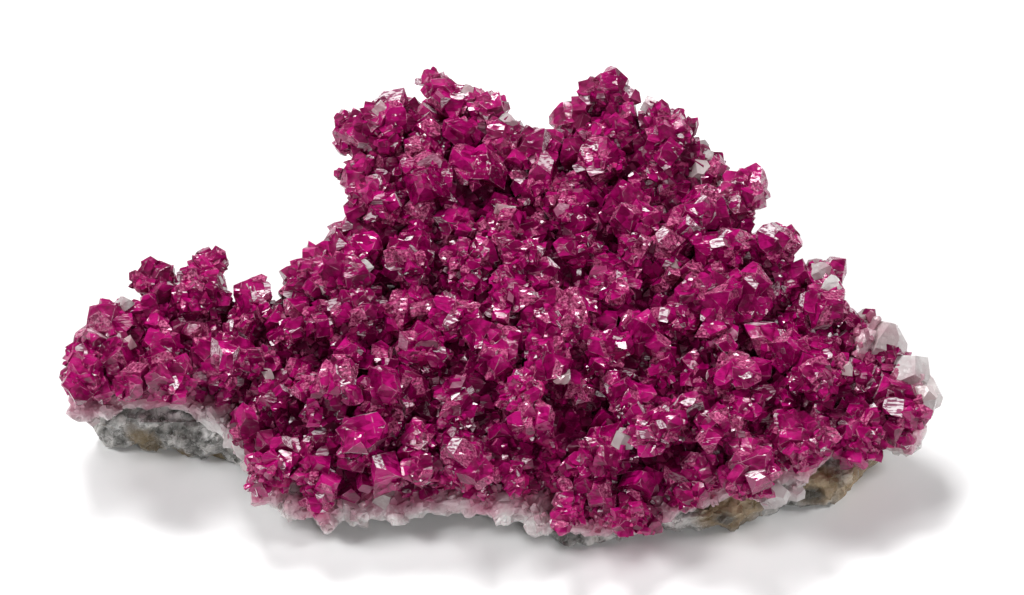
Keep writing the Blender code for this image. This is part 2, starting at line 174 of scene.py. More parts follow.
def surfaceOf(name, colour, values=None):
    # a material; colour is a plain colour, or what makes one from the material's graph
    made = bpy.data.materials.new(name)
    made.use_nodes = True
    graph = Graph(made.node_tree)
    sockets = dict(values or {})
    if callable(colour):
        sockets.update(colour(graph))
    else:
        sockets["Base Color"] = (*colour, 1.0)
    shader = graph.add("ShaderNodeBsdfPrincipled", None, sockets)
    graph.add("ShaderNodeOutputMaterial", None, {"Surface": shader})
    return made


def makePicture():
    camera = bpy.data.objects.new("camera", bpy.data.cameras.new("camera"))
    scene.collection.objects.link(camera)
    camera.location = eye
    camera.rotation_euler = viewBack.to_track_quat("Z", "Y").to_euler()
    camera.data.lens = camera.data.sensor_width * picture["distance"] / picture["widthAtAim"]
    camera.data.clip_start = picture["nearest"]
    scene.camera = camera
    for name, (azimuth, elevation, distance, size, radiance) in picture["lights"].items():
        data = bpy.data.lights.new(name, "AREA")
        data.shape = "RECTANGLE"
        data.size, data.size_y = size
        data.energy = radiance * math.pi * size[0] * size[1]
        lamp = bpy.data.objects.new(name, data)
        a, e = math.radians(azimuth), math.radians(elevation)
        towards = Vector((math.sin(a) * math.cos(e), math.cos(a) * math.cos(e), math.sin(e)))
        lamp.location = picture["aim"] + towards * distance
        lamp.rotation_euler = towards.to_track_quat("Z", "Y").to_euler()
        scene.collection.objects.link(lamp)
    world = bpy.data.worlds.new("studio")
    world.use_nodes = True
    world.node_tree.nodes["Background"].inputs["Color"].default_value = (*[picture["world"]] * 3, 1.0)
    scene.world = world
    scene.view_settings.view_transform = "Standard"
    ground = bmesh.new()
    bmesh.ops.create_grid(ground, x_segments=1, y_segments=1, size=picture["floorHalfWidth"])
    floor = objectOf("floor", ground)
    floor.data.materials.append(surfaceOf("paleFloor", picture["floor"], {"Roughness": 0.9}))
    print("picture set up")


def plainMesh(obj):
    # applies the modifiers of an object
    graph = bpy.context.evaluated_depsgraph_get()
    mesh = bpy.data.meshes.new_from_object(obj.evaluated_get(graph))
    obj.modifiers.clear()
    obj.data = mesh
    return obj


def remeshed(obj, voxel):
    modifier = obj.modifiers.new("remesh", "REMESH")
    modifier.mode = "VOXEL"
    modifier.voxel_size = voxel * mm
    return plainMesh(obj)


def remeshedNode(node, name, voxel):
    # a CAD node's loose triangles joined, then made an even mesh
    bm = bmesh.new()
    bm.from_mesh(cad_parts[node].data)
    bmesh.ops.remove_doubles(bm, verts=bm.verts, dist=mergeDistance)
    return remeshed(objectOf(name, bm), voxel)


def joined(name, parts):
    bm = bmesh.new()
    for part in parts:
        bm.from_mesh(part.data)
    for part in parts:
        bpy.data.objects.remove(part)
    return objectOf(name, bm)


def edited(obj, change):
    # runs a change on the object's mesh as a bmesh
    bm = bmesh.new()
    bm.from_mesh(obj.data)
    change(bm)
    bm.to_mesh(obj.data)
    bm.free()


def softened(bm, times):
    for _ in range(times):
        bmesh.ops.smooth_vert(bm, verts=bm.verts, factor=0.5, use_axis_x=True, use_axis_y=True,
                              use_axis_z=True)


def treeOf(obj):
    bm = bmesh.new()
    bm.from_mesh(obj.data)
    tree = BVHTree.FromBMesh(bm)
    bm.free()
    return tree


def castAt(tree, x, y, steps=40, inwards=0.01):
    # where the photograph's pixel lies on a surface;
    # past an edge it slides inwards, a hundredth of its way at a time
    wide, high = picture["pixels"]
    scale = picture["widthAtAim"] / wide
    upwards = Vector((1.0, 0.0, 0.0)).cross(viewBack) * -1.0
    for step in range(steps):
        share = 1.0 - inwards * step
        across, up = (x - wide / 2) * scale * share, (high / 2 - y) * scale * share
        towards = picture["aim"] + Vector((across, 0.0, 0.0)) + upwards * up - eye
        place, normal, _, _ = tree.ray_cast(eye, towards)
        if place:
            return place, normal
    raise ValueError(f"nothing at {x}, {y}")


def dress(obj, finish, replaces=None):
    obj.data.materials.clear()
    obj.data.materials.append(finish)
    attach(obj, "root")
    if replaces:
        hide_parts(replaces)
    obj.data.calc_loop_triangles()
    print(obj.name, "made with", len(obj.data.loop_triangles), "triangles")


def tilted(degrees, turn):
    # a plane's normal, this far from upright
    a, b = math.radians(degrees), math.radians(turn)
    return Vector((math.sin(a) * math.cos(b), math.sin(a) * math.sin(b), math.cos(a)))


def wedge(rng):
    # two large roof faces and two small ones
    tall, ridge = rng.uniform(1.1, 1.8), rng.uniform(0.1, 0.4)
    planes = []
    for turn in (0, 180):
        normal = tilted(rng.uniform(36, 60), turn)
        planes.append((normal, tall * normal.z))
    for turn in (90, 270):
        normal = tilted(rng.uniform(48, 70), turn + rng.uniform(-12, 12))
        planes.append((normal, tall * normal.z + ridge * math.sqrt(1.0 - normal.z**2)))
    for turn in (45, 135, 225, 315):
        if rng.random() < 0.35:
            planes.append((tilted(90, turn + rng.uniform(-10, 10)), rng.uniform(0.85, 1.05)))
    return planes, (1.0, rng.uniform(0.5, 0.9), tall)


def lens(rng):
    # a curved wedge, with two roof faces on each side of a sharp ridge
    tall = rng.uniform(1.2, 1.7)
    planes = []
    for turn in (0, 180):
        slope = rng.uniform(38, 52)
        for steeper, out in ((0, 0.0), (rng.uniform(14, 22), 0.16)):
            normal = tilted(slope + steeper, turn + rng.uniform(-8, 8))
            planes.append((normal, tall * normal.z + out))
    for turn in (90, 270):
        normal = tilted(rng.uniform(50, 66), turn + rng.uniform(-12, 12))
        planes.append((normal, tall * normal.z + rng.uniform(0.15, 0.4)))
    return planes, (1.0, rng.uniform(0.6, 0.95), tall)


def steepPoint(rng):
    # three or four uneven faces
    tall, count = rng.uniform(1.4, 2.2), rng.choice((3, 4, 4))
    start = rng.uniform(0, 360)
    planes = []
    for k in range(count):
        normal = tilted(rng.uniform(44, 68), start + 360 * k / count + rng.uniform(-16, 16))
        planes.append((normal, tall * normal.z * rng.uniform(0.9, 1.0)))
    return planes, (rng.uniform(0.7, 1.0), rng.uniform(0.6, 0.9), tall)


def rhomb(rng):
    # three blunt faces round a corner, as calcite ends
    tall, start = rng.uniform(0.9, 1.3), rng.uniform(0, 120)
    planes = []
    for k in range(3):
        normal = tilted(rng.uniform(38, 56), start + 120 * k + rng.uniform(-6, 6))
        planes.append((normal, tall * normal.z * rng.uniform(0.88, 1.0)))
        planes.append((tilted(rng.uniform(80, 96), start + 60 + 120 * k), rng.uniform(0.75, 1.0)))
    return planes, (1.0, 1.0, tall)


def column(rng):
    # long and thin, blunt at the top
    tall = rng.uniform(1.6, 2.6)
    planes = []
    for k in range(3):
        normal = tilted(rng.uniform(20, 60), 120 * k + rng.uniform(-25, 25))
        planes.append((normal, tall * normal.z * rng.uniform(0.88, 1.0)))
    return planes, (rng.uniform(0.3, 0.5), rng.uniform(0.25, 0.4), tall)


shapes = {  # lengths as shares of a crystal's half width
    "foot": 0.6,  # how far it reaches below the point that it stands on
    "twist": 0.1,  # spread of its turn about its axis, in radians
    "turns": (0.0, 0.0, 0.0, math.pi / 2),  # added to the twist; one in four grows across the others
    "shift": ((-0.6, 0.6), (-0.6, 0.6), (-0.4, 0.1)),  # where a further block stands from the first
    "share": (0.5, 0.85),  # a further block's size
    "turnedDown": -0.3,  # a facet whose normal has less z than this is under the crystal
    "leastArea": 0.15,  # the other facets get a middle point if they are larger than this
}


def crystalShapes(name, seed, count, habits, blocks, lean=0.16, edged=False):
    # shapes to pick from, standing on the origin and about 2 across, each of a few blocks grown together;
    # edged gives each large facet a middle point, so that a colour can follow its edges
    group = bpy.data.collections.new(name)
    rng = random.Random(seed)
    for k in range(count):
        bm = bmesh.new()
        for part in range(rng.choice(blocks)):
            planes, half = rng.choice(habits)(rng)
            planes.append((Vector((0.0, 0.0, -1.0)), shapes["foot"]))
            made = bmesh.new()
            bmesh.ops.create_cube(made, size=2.0)
            bmesh.ops.scale(made, vec=half, verts=made.verts)
            for normal, distance in planes:
                cut = bmesh.ops.bisect_plane(
                    made, geom=made.verts[:] + made.edges[:] + made.faces[:], dist=cutDistance,
                    plane_co=normal * distance, plane_no=normal, clear_outer=True)
                edges = [e for e in cut["geom_cut"] if isinstance(e, bmesh.types.BMEdge)]
                if edges:
                    bmesh.ops.contextual_create(made, geom=edges)
            bmesh.ops.recalc_face_normals(made, faces=made.faces)
            edge = made.loops.layers.float.new("edge")
            facet = made.faces.layers.float.new("facet")
            for f in made.faces:
                f[facet] = rng.random()
            if edged:
                seen = [f for f in made.faces
                        if f.normal.z > shapes["turnedDown"] and f.calc_area() > shapes["leastArea"]]
                poked = bmesh.ops.poke(made, faces=seen)
                for f in poked["faces"]:
                    for loop in f.loops:
                        loop[edge] = 0.0 if loop.vert in poked["verts"] else 1.0
            turn = Matrix.Rotation(rng.gauss(0, lean), 4, "X") @ Matrix.Rotation(rng.gauss(0, lean), 4, "Y")
            twist = rng.gauss(0, shapes["twist"]) + rng.choice(shapes["turns"])
            turn = turn @ Matrix.Rotation(twist, 4, "Z")
            if part:
                shift = Vector([rng.uniform(*span) for span in shapes["shift"]])
                turn = Matrix.Translation(shift) @ turn @ Matrix.Scale(rng.uniform(*shapes["share"]), 4)
            made.transform(turn)
            mesh = bpy.data.meshes.new("block")
            made.to_mesh(mesh)
            made.free()
            bm.from_mesh(mesh)
            bpy.data.meshes.remove(mesh)
        top = max(v.co.z for v in bm.verts)
        tip = bm.verts.layers.float.new("tip")
        for v in bm.verts:
            v[tip] = max(0.0, v.co.z / top)
        shape = bpy.data.objects.new(f"{name}{k:02d}", bpy.data.meshes.new(f"{name}{k:02d}"))
        bm.to_mesh(shape.data)
        bm.free()
        group.objects.link(shape)
    return group


def startTree(name, kinds):
    # a Geometry Nodes tree with named inputs: its graph, its inputs, and the identifier of each
    tree = bpy.data.node_groups.new(name, "GeometryNodeTree")

    def socket(key, side, kind):
        return tree.interface.new_socket(key, in_out=side, socket_type="NodeSocket" + kind).identifier

    socket("Geometry", "INPUT", "Geometry")
    sockets = {key: socket(key, "INPUT", kind) for key, kind in kinds.items()}
    socket("Geometry", "OUTPUT", "Geometry")
    graph = Graph(tree)
    return graph, graph.add("NodeGroupInput"), sockets


def finishTree(graph, given, geometry):
    done = graph.add("GeometryNodeSetMaterial", None,
                     {"Geometry": geometry, "Material": given.at("Finish")})
    graph.add("NodeGroupOutput", None, {0: done})


lengthInputs = ("Spacing", "Smallest", "Largest")  # given in mm; a tree takes them in metres


def applied(obj, tree, values):
    # runs a tree with these inputs on an object, which takes the mesh that comes out
    graph, sockets = tree
    modifier = obj.modifiers.new("tree", "NODES")
    modifier.node_group = graph.tree
    for key, value in values.items():
        modifier[sockets[key]] = value * mm if key in lengthInputs else value
    plainMesh(obj)


def crystalTree(name, scattered):
    # crystals stood on points: scattered over a surface, or the mesh's own with their axis and size
    kinds = {"Seed": "Int", "Crystals": "Collection", "Finish": "Material"}
    if scattered:
        floats = ("Lean", "Sink", "Upright", "Rim cut", "Lowest slope", "Highest slope")
        kinds.update(dict.fromkeys(lengthInputs + floats, "Float"))
    graph, given, sockets = startTree(name, kinds)

    def vary(low, high, shift):
        return graph.add("FunctionNodeRandomValue", {"data_type": "FLOAT"},
                         {2: low, 3: high, "Seed": given.at("Seed") + float(shift)}, out=1)

    def stored(key, kind="FLOAT"):
        return graph.add("GeometryNodeInputNamedAttribute", {"data_type": kind}, {"Name": key})

    if scattered:
        slope = graph.add("ShaderNodeSeparateXYZ", None, {0: graph.add("GeometryNodeInputNormal")}, out=2)
        allowed = slope.above(given.at("Lowest slope")) * given.at("Highest slope").above(slope)
        spread = graph.add("GeometryNodeDistributePointsOnFaces", {"distribute_method": "POISSON"},
                           {"Mesh": given.at("Geometry"), "Selection": allowed, "Seed": given.at("Seed"),
                            "Distance Min": given.at("Spacing"), "Density Max": 1e9}, out="Points")
        outwards = spread.at("Normal")
        slope = graph.add("ShaderNodeSeparateXYZ", None, {0: outwards}, out=2)
        # mostly small ones, larger where the ground stands out, smaller on steep ground by the rim cut
        size = given.at("Smallest")
        size = size + (given.at("Largest") - given.at("Smallest")) * vary(0.0, 1.0, 3) ** 2.0
        size = size * (stored("crest") * 0.4 + 0.8) * (1.0 - given.at("Rim cut") * (1.0 - slope).clamped())
        depth = graph.vector("SCALE", outwards, size * given.at("Sink") * vary(-1.6, -0.4, 4))
        points = graph.add("GeometryNodeSetPosition", None, {"Geometry": spread, "Offset": depth})
        wander = graph.add("FunctionNodeRandomValue", {"data_type": "FLOAT_VECTOR"},
                           {0: (-1.0, -1.0, -1.0), 1: (1.0, 1.0, 1.0), "Seed": given.at("Seed") + 1.0})
        axis = graph.vector("ADD", outwards, graph.vector("SCALE", wander, given.at("Lean")))
        axis = graph.vector("ADD", axis, graph.vector("SCALE", (0.0, 0.0, 1.0), given.at("Upright")))
    else:
        points, axis, size = given.at("Geometry"), stored("axis", "FLOAT_VECTOR"), stored("size")
    turn = graph.add("FunctionNodeAlignRotationToVector", {"axis": "Z"}, {"Vector": axis})
    spin = graph.add("FunctionNodeAxisAngleToRotation", None,
                     {"Axis": (0.0, 0.0, 1.0), "Angle": vary(0.0, math.tau, 2)})
    turn = graph.add("FunctionNodeRotateRotation", {"rotation_space": "LOCAL"},
                     {"Rotation": turn, "Rotate By": spin})
    choice = graph.add("GeometryNodeCollectionInfo", None,
                       {"Collection": given.at("Crystals"), "Separate Children": True,
                        "Reset Children": True})
    pick = graph.add("FunctionNodeRandomValue", {"data_type": "INT"},
                     {4: 0, 5: 1000, "Seed": given.at("Seed") + 5.0}, out=2)
    stood = graph.add("GeometryNodeInstanceOnPoints", None,
                      {"Points": points, "Instance": choice, "Pick Instance": True, "Rotation": turn,
                       "Scale": size, "Instance Index": pick})
    for key, shift in (("tint", 6), ("tone", 7)):
        stood = graph.add("GeometryNodeStoreNamedAttribute", {"data_type": "FLOAT", "domain": "INSTANCE"},
                          {"Geometry": stood, "Name": key, "Value": vary(0.0, 1.0, shift)})
    finishTree(graph, given, graph.add("GeometryNodeRealizeInstances", None, {"Geometry": stood}))
    return graph, sockets


scatterTree = crystalTree("scatteredCrystals", True)
placedTree = crystalTree("placedCrystals", False)


def grown(name, surface, tree, values):
    # a piece of crystals over a copy of this surface, or on its points
    obj = bpy.data.objects.new(name, surface.data.copy())
    scene.collection.objects.link(obj)
    applied(obj, tree, values)
    dress(obj, values["Finish"])
    return obj


def placed(name, carrier, spots, values):
    # crystals at named pixels of the photograph, rooted on what carries them: Rooted is how deep, as a share
    # of a crystal's half width, and Wander the spread of its axis
    bm = bmesh.new()
    axis, size = bm.verts.layers.float_vector.new("axis"), bm.verts.layers.float.new("size")
    rng = random.Random(values["Seed"])
    for x, y, half, lean in spots:
        place, normal = castAt(carrier, x, y)
        wander = Vector([rng.gauss(0, values["Wander"]) for _ in range(3)])
        aim = (normal + viewBack * lean + wander).normalized()
        v = bm.verts.new(place - aim * half * mm * values["Rooted"])
        v[axis], v[size] = aim, half * mm
    seat = objectOf(name + "Seat", bm)
    grown(name, seat, placedTree, {key: values[key] for key in ("Seed", "Crystals", "Finish")})
    bpy.data.objects.remove(seat)


roselite = {
    "voxel": 0.45,
    "setIn": (1.3, 2.6),  # how far the core stands in from the solid crust, on its top and at its rim
    "setInSteps": 3,
    "undercut": 1.6,  # how soon that depth falls to nothing as the crust turns under
    "clumpSpacing": 3.4,
    "clumpSlope": 0.1,  # least z of the normal where a clump stands
    "clumpRadius": (0.8, 2.0),
    "clumpSquash": ((0.8, 1.2), (0.8, 1.2), (0.8, 1.1)),
    "clumpLift": 0.15,  # of its radius, out of the ground
    "clumpSeed": 4,
    "valleys": [  # the dark gaps, as paths of pixels
        [(548, 128), (528, 180), (512, 232), (472, 280), (440, 300)],
        [(606, 380), (598, 430), (606, 470)],
        [(560, 300), (562, 335)],
        [(690, 418), (692, 450)],
        [(752, 345), (764, 375)],
        [(636, 228), (644, 255)],
    ],
    "valleyWidth": 1.7,
    "valleyDepth": 1.5,
    "fillerLift": 0.5,  # of its radius, straight up
    "fillers": [  # clumps where the crust stands higher: pixel, radius in mm
        (722, 172, 1.8), (748, 200, 1.9), (760, 226, 1.4), (780, 252, 1.5), (824, 290, 1.7),
        (842, 307, 1.5), (500, 112, 2.4), (518, 122, 2.5), (536, 132, 2.2), (450, 106, 1.5),
        (470, 110, 1.7), (486, 112, 1.9), (582, 106, 1.2), (597, 101, 1.4), (617, 104, 1.5),
        (636, 115, 1.2), (660, 128, 1.4), (676, 138, 1.7), (212, 270, 1.3), (228, 282, 1.9),
        (268, 290, 2.2), (312, 262, 1.1), (890, 362, 1.4), (918, 418, 2.0), (908, 442, 1.9),
        (888, 457, 1.8), (862, 453, 1.7), (838, 458, 1.8), (812, 466, 1.8), (790, 476, 1.8),
        (768, 486, 1.8), (716, 494, 1.6), (376, 482, 1.5), (545, 124, 1.7), (742, 492, 1.5),
    ],
    "rosyWidth": 5.0,  # how far in from its rim the crust changes its pink; the change is stronger at the far side, painted light from behind
    "crestHeight": 0.9,  # from the deepest painted shade to the lightest, out of the ground round it
    "crestSteps": 30,  # rounds of smoothing that make that ground
}


def makeCore():
    # the crust set in a little, with rounded clumps, dark gaps and the attributes of its finish
    crust = remeshedNode("roselite_crust", "crustCopy", roselite["voxel"])

    def setIn(bm):
        top, side = roselite["setIn"]
        for _ in range(roselite["setInSteps"]):
            softened(bm, 1)
            bm.normal_update()
            for v in bm.verts:
                up = v.normal.z
                if up > 0:
                    depth = side + (top - side) * up
                else:
                    depth = side * max(0.0, 1.0 + roselite["undercut"] * up)
                v.co -= v.normal * depth * mm / roselite["setInSteps"]

    edited(crust, setIn)
    tree = treeOf(crust)
    # the crust's outline from above, as the millimetre cells with an empty one beside them
    cells = {(round(v.co.x / mm), round(v.co.y / mm)) for v in crust.data.vertices}
    outline = [(x, y) for x, y in cells if not {(x + 1, y), (x - 1, y), (x, y + 1), (x, y - 1)} <= cells]
    rim = KDTree(len(outline))
    for k, (x, y) in enumerate(outline):
        rim.insert((x * mm, y * mm, 0.0), k)
    rim.balance()
    fillers = [(*castAt(tree, x, y), radius * mm) for x, y, radius in roselite["fillers"]]
    gaps = [[castAt(tree, x, y)[0] for x, y in path] for path in roselite["valleys"]]

    def gapNear(place):
        # how far a point lies from the nearest gap
        near = 1.0
        for path in gaps:
            for start, end in zip(path, path[1:]):
                along = end - start
                share = min(1.0, max(0.0, (place - start).dot(along) / along.length_squared))
                near = min(near, (place - start - along * share).length)
        return near

    def carve(bm):
        bm.normal_update()
        for v in bm.verts:
            depth = 1.0 - gapNear(v.co) / (roselite["valleyWidth"] * mm)
            if depth > 0:
                v.co -= v.normal * roselite["valleyDepth"] * mm * min(1.0, depth * 1.5)

    edited(crust, carve)
    rng = random.Random(roselite["clumpSeed"])
    spots = []
    order = [(v.co.copy(), v.normal.copy()) for v in crust.data.vertices]
    rng.shuffle(order)
    apart = roselite["clumpSpacing"] * mm
    for place, normal in order:
        if normal.z > roselite["clumpSlope"] and all((place - s).length > apart for s, _ in spots):
            spots.append((place, normal))
    parts = [crust]
    # smaller clumps on steep ground, none in the gaps
    clumps = [(place, normal, rng.uniform(*roselite["clumpRadius"]) * mm * min(1.0, 0.45 + 0.65 * normal.z))
              for place, normal in spots if gapNear(place) > roselite["valleyWidth"] * mm]
    clumps += [(place + Vector((0.0, 0.0, roselite["fillerLift"])) * radius, normal, radius)
               for place, normal, radius in fillers]
    for place, normal, radius in clumps:
        ball = bmesh.new()
        bmesh.ops.create_icosphere(ball, subdivisions=3, radius=radius)
        squash = Matrix.Diagonal([rng.uniform(*span) for span in roselite["clumpSquash"]] + [1.0])
        ball.transform(Matrix.Translation(place + normal * radius * roselite["clumpLift"]) @ squash)
        parts.append(objectOf("ball", ball))
    core = remeshed(joined("roseliteCore", parts), roselite["voxel"])

    def markCrests(bm):
        # crest: how far a point stands out of the ground round it, 0 in the gaps and 1 on the clumps, which
        # paints shade in the gaps and light on the clumps;
        # the rim share: how near it is to the crust's outline from above, raised at the far side as painted
        # light from behind
        places = [v.co.copy() for v in bm.verts]
        bm.normal_update()
        normals = [v.normal.copy() for v in bm.verts]
        softened(bm, roselite["crestSteps"])
        crest, rosy = bm.verts.layers.float.new("crest"), bm.verts.layers.float.new("rosy")
        for v, place, normal in zip(bm.verts, places, normals):
            out = (place - v.co).dot(normal)
            v[crest] = min(1.0, max(0.0, 0.5 + out / (roselite["crestHeight"] * mm)))
            v.co = place
            near = 1.0 - rim.find((place.x, place.y, 0.0))[2] / (roselite["rosyWidth"] * mm)
            v[rosy] = max(0.0, near * (0.75 + place.y / (120 * mm)))

    edited(core, markCrests)
    print("roselite core with", len(spots), "clumps")
    return core


roseliteColours = {
    "crystals": [(0.0, (0.12, 0.0, 0.035)), (0.35, (0.16, 0.0, 0.046)), (0.6, (0.27, 0.0, 0.083)),
                 (1.0, (0.50, 0.006, 0.175))],
    "ground": [(0.0, (0.30, 0.0, 0.085)), (1.0, (0.60, 0.001, 0.18))],
    "betweenSand": (0.26, 0.001, 0.08, 1.0),
    "sand": (0.97, 0.24, 0.47, 1.0),  # facets covered in tiny crystals
    "milk": (0.72, 0.28, 0.42, 1.0),  # faint clouds near the rim
    # dull facets, rougher, with a painted mauve reflection
    "dullPaintedSheen": (0.30, 0.10, 0.17, 1.0),
    "dullPaintedSheenShare": 0.06,  # of the facets
    # painted glints: pale streaked facets
    "paintedGlint": (0.97, 0.88, 0.91, 1.0),
    "paintedGlintShare": 0.05,
    # painted highlight along the edges of facets
    "edge": (0.90, 0.50, 0.65, 1.0),
    "edgeHighlightWidth": 0.07,  # as a share of the way to the facet's middle
}


def roseliteLook(tones, rough, frost):
    # glassy crystals in deep and bright crimson, sandy pink facets, a few dull ones with a painted mauve
    # reflection, a few with painted silvery glints, painted highlights on facet edges, and a tone painted
    # lighter on the crests and at the tips and darker in the gaps; frost is 1 for crystals, and 0 for the
    # ground under them, which has none of the sandy, dull, glinting or edge facets
    colours = roseliteColours

    def look(graph):
        place = graph.add("ShaderNodeTexCoord", out="Object")
        tint, tone, tip, facet = [graph.attribute(k) for k in ("tint", "tone", "tip", "facet")]
        edge, crest, rosy = [graph.attribute(k) for k in ("edge", "crest", "rosy")]
        crest = ((crest - 0.5) * 1.6 + 0.5).clamped()
        pick = graph.add("ShaderNodeMath", {"operation": "FRACT"}, {0: facet + tint * 3.7})  # one per facet
        clump = graph.noise(place, 0.22, 1.0)  # light and dark patches wider than a crystal
        # clouds inside the crystal, others for each facet
        inside = graph.add("ShaderNodeTexNoise", {"noise_dimensions": "4D"},
                           {"Vector": place, "W": pick * 20.0, "Scale": 0.9 / mm, "Detail": 2.5,
                            "Distortion": 1.0})
        # growth steps, grains and lines, turned another way for each crystal
        turn = graph.add("ShaderNodeCombineXYZ", None, {0: tint * 6.0, 1: tone * 6.0, 2: tint * 3.0})
        steps, stepShade = graph.tinyFacets(graph.turned(place, turn, (0.6, 1.6, 1.1)), 1.1)
        grains, grainShade = graph.tinyFacets(graph.turned(place, turn, (0.8, 2.0, 1.2)), 2.6)
        lines = graph.noise(graph.turned(place, turn, (0.35, 1.6, 3.4)), 2.6, 1.5)
        # the tone: random by crystal, facet, patch, cloud and growth step, with painted light, lighter
        # towards a crystal's tip, on the crests and near the rim, and painted shade in the gaps
        bright = tint * 0.3 + tip * 0.2 + (pick - 0.5) * 0.2 + (clump - 0.5) * 0.6 + (inside - 0.5) * 1.4
        bright = bright + (stepShade - 0.5) * 0.5 + crest * 0.4 - 0.03 + rosy * 0.03
        colour = graph.add("ShaderNodeValToRGB", {"stops": tones}, {"Fac": bright.clamped()})
        frosted = (crest * 0.24 - rosy * 0.2 + (clump - 0.5) * 0.6 + tone * 0.5 - 0.255).above(pick) * frost
        sand = ((graph.noise(place, 4.5, 3.0, 0.6) - 0.38) * 4.0).clamped()
        sandy = graph.mixed(sand, colours["betweenSand"], colours["sand"])
        colour = graph.mixed(frosted * (grainShade * 0.6 + 0.4), colour, sandy)
        milky = ((rosy - 0.35) * 2.2).clamped() * (graph.noise(place, 0.8, 2.0) * 3.0 - 1.2).clamped()
        colour = graph.mixed(milky * 0.12 * frost, colour, colours["milk"])
        # a few dull facets on the crests: rougher, with a painted mauve reflection
        dullPaintedSheen = pick.above(1.0 - colours["dullPaintedSheenShare"]) * crest * frost
        colour = graph.mixed(dullPaintedSheen * 0.7, colour, colours["dullPaintedSheen"])
        # painted glints: a few pale streaked facets on the crests
        lined = ((lines + grainShade * 0.16 - 0.53) * 9.0).clamped()
        paintedGlint = pick.above(1.0 - colours["paintedGlintShare"]) * lined * crest * frost
        colour = graph.mixed(paintedGlint * 0.9, colour, colours["paintedGlint"])
        # painted highlight along facet edges on the crests, broken up by noise
        paintedEdgeHighlight = ((edge - (1.0 - colours["edgeHighlightWidth"])) * 20.0).clamped()
        paintedEdgeHighlight = paintedEdgeHighlight * ((graph.noise(place, 1.2, 2.0) - 0.5) * 6.0).clamped() * crest
        colour = graph.mixed(paintedEdgeHighlight * 0.45 * frost, colour, colours["edge"])
        height = steps * (0.35 * frost) + grains * (frosted * 1.2 + 0.07)
        height = height + lines * (pick.above(0.5) * 0.00004 + 0.00001)
        bump = graph.add("ShaderNodeBump", None, {"Height": height, "Strength": 1.0, "Distance": 1.0})
        return {"Base Color": colour, "Normal": bump,
                "Roughness": frosted * 0.06 + dullPaintedSheen * 0.3 + (1.0 - crest) * 0.2 + rough}
    return look


makePicture()
core = makeCore()
groundFinish = surfaceOf("roseliteInside", roseliteLook(roseliteColours["ground"], 0.4, 0.0), {"IOR": 1.4})
dress(core, groundFinish, "roselite_crust")
coreTree = treeOf(core)

bigCrystals = {  # lengths in mm
    "Spacing": 1.38, "Smallest": 0.75, "Largest": 1.65, "Lean": 0.5, "Sink": 0.25, "Upright": 0.0,
    "Rim cut": 0.45, "Lowest slope": -0.1, "Highest slope": 1.1, "Seed": 15,
}
smallCrystals = {
    "Spacing": 0.85, "Smallest": 0.35, "Largest": 0.9, "Lean": 0.7, "Sink": 0.2, "Upright": 0.0,
    "Rim cut": 0.3, "Lowest slope": -0.3, "Highest slope": 1.1, "Seed": 12,
}
gemFinish = surfaceOf("roseliteGem", roseliteLook(roseliteColours["crystals"], 0.04, 1.0),
                      {"IOR": 1.5, "Transmission Weight": 0.15})
bigGems = crystalShapes("gem", 5, 18, (lens, lens, wedge, steepPoint), (1, 2, 2, 3), edged=True)
smallGems = crystalShapes("smallGem", 6, 12, (wedge, steepPoint), (1,))
crystals = grown("roseliteCrystals", core, scatterTree,
                 {**bigCrystals, "Crystals": bigGems, "Finish": gemFinish})
grown("fineRoselite", core, scatterTree,
      {**smallCrystals, "Crystals": smallGems, "Finish": gemFinish})


def roughTree():
    # pushes a surface in and out: soft lumps, sloping chips, and round bulges with creases between them
    kinds = dict.fromkeys(("Lumps per mm", "Lump depth", "Chips per mm", "Chip depth", "Bulges per mm",
                           "Bulge depth"), "Float")
    graph, given, sockets = startTree("roughSurface", {**kinds, "Finish": "Material"})
    place = graph.vector("SCALE", graph.add("GeometryNodeInputPosition"), 1.0 / mm)
    lumps = graph.add("ShaderNodeTexNoise", None,
                      {"Vector": place, "Scale": given.at("Lumps per mm"), "Detail": 2.0})
    chips = graph.add("ShaderNodeTexVoronoi", None,
                      {"Vector": place, "Scale": given.at("Chips per mm")}, out="Position")
    slope = graph.vector("SUBTRACT", chips.at("Color"), (0.5, 0.5, 0.5))
    chip = graph.vector("DOT_PRODUCT", slope, graph.vector("SUBTRACT", place, chips), out=1)
    bulges = graph.add("ShaderNodeTexVoronoi", {"feature": "SMOOTH_F1"},
                       {"Vector": place, "Scale": given.at("Bulges per mm"), "Smoothness": 0.3},
                       out="Distance")
    push = (lumps - 0.5) * given.at("Lump depth") + chip * given.at("Chip depth")
    push = push + (0.5 - bulges) * given.at("Bulge depth")
    offset = graph.vector("SCALE", graph.add("GeometryNodeInputNormal"), push * mm)
    pushed = {"Geometry": given.at("Geometry"), "Offset": offset}
    finishTree(graph, given, graph.add("GeometryNodeSetPosition", None, pushed))
    return graph, sockets


surfaceTree = roughTree()


def paint(obj, key, spots):
    # a soft patch round each spot: place, radius in mm
    def fill(bm):
        layer = bm.verts.layers.float.new(key)
        for v in bm.verts:
            v[layer] = max([0.0] + [1.0 - (v.co - place).length / (radius * mm) for place, radius in spots])
    edited(obj, fill)


